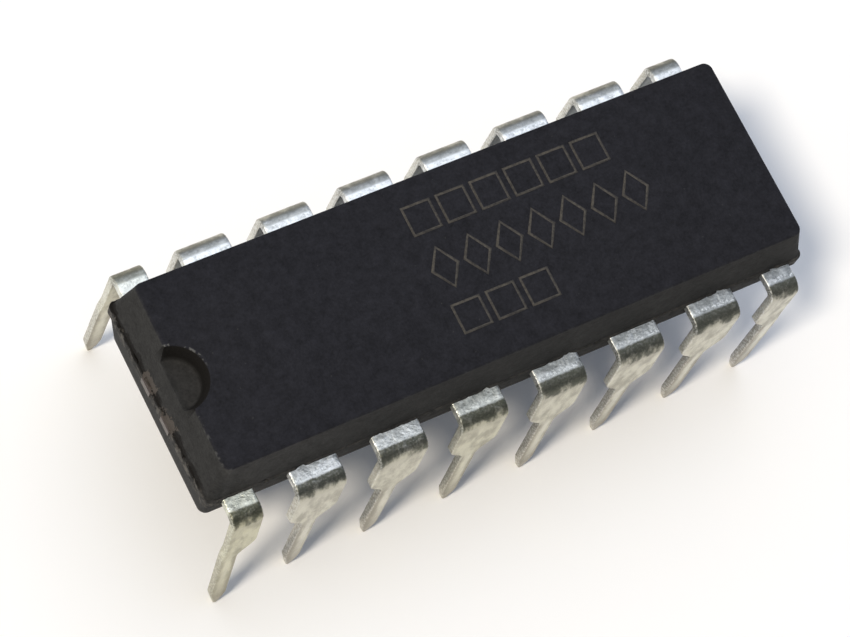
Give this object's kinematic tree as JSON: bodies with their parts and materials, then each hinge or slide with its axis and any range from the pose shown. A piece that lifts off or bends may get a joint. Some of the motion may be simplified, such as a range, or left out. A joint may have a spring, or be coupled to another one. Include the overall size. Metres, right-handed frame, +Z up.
{
  "type": "dual in-line integrated circuit",
  "caption": "Black moulded integrated circuit with a half-round notch at one end and a row of bent, tinned through-hole leads down each long side.",
  "frame": {"origin": "middle of the footprint, in the plane of the lead tips", "axes": "+X along the body, away from the notched end; +Y towards the row that holds lead 9 to lead 16; +Z up from the lead tips to the top face"},
  "size_m": [0.0192, 0.0084, 0.0078],
  "materials": {
    "moulding": "fine matte",
    "tinned_lead": "dull tin plating",
    "copper_frame": "bare copper alloy",
    "adhesive": "silver-filled epoxy",
    "silicon": "polished",
    "gold_wire": "drawn wire"
  },
  "bodies": {
    "root": {"moulded_body": "moulding", "die_paddle": "copper_frame", "die_attach": "adhesive", "silicon_die": "silicon", "lead_01": "tinned_lead", "lead_02": "tinned_lead", "lead_03": "tinned_lead", "lead_04": "tinned_lead", "lead_05": "tinned_lead", "lead_06": "tinned_lead", "lead_07": "tinned_lead", "lead_08": "tinned_lead", "lead_09": "tinned_lead", "lead_10": "tinned_lead", "lead_11": "tinned_lead", "lead_12": "tinned_lead", "lead_13": "tinned_lead", "lead_14": "tinned_lead", "lead_15": "tinned_lead", "lead_16": "tinned_lead", "bond_wire_01": "gold_wire", "bond_wire_02": "gold_wire", "bond_wire_03": "gold_wire", "bond_wire_04": "gold_wire", "bond_wire_05": "gold_wire", "bond_wire_06": "gold_wire", "bond_wire_07": "gold_wire", "bond_wire_08": "gold_wire", "bond_wire_09": "gold_wire", "bond_wire_10": "gold_wire", "bond_wire_11": "gold_wire", "bond_wire_12": "gold_wire", "bond_wire_13": "gold_wire", "bond_wire_14": "gold_wire", "bond_wire_15": "gold_wire", "bond_wire_16": "gold_wire"}
  },
  "joints": []
}
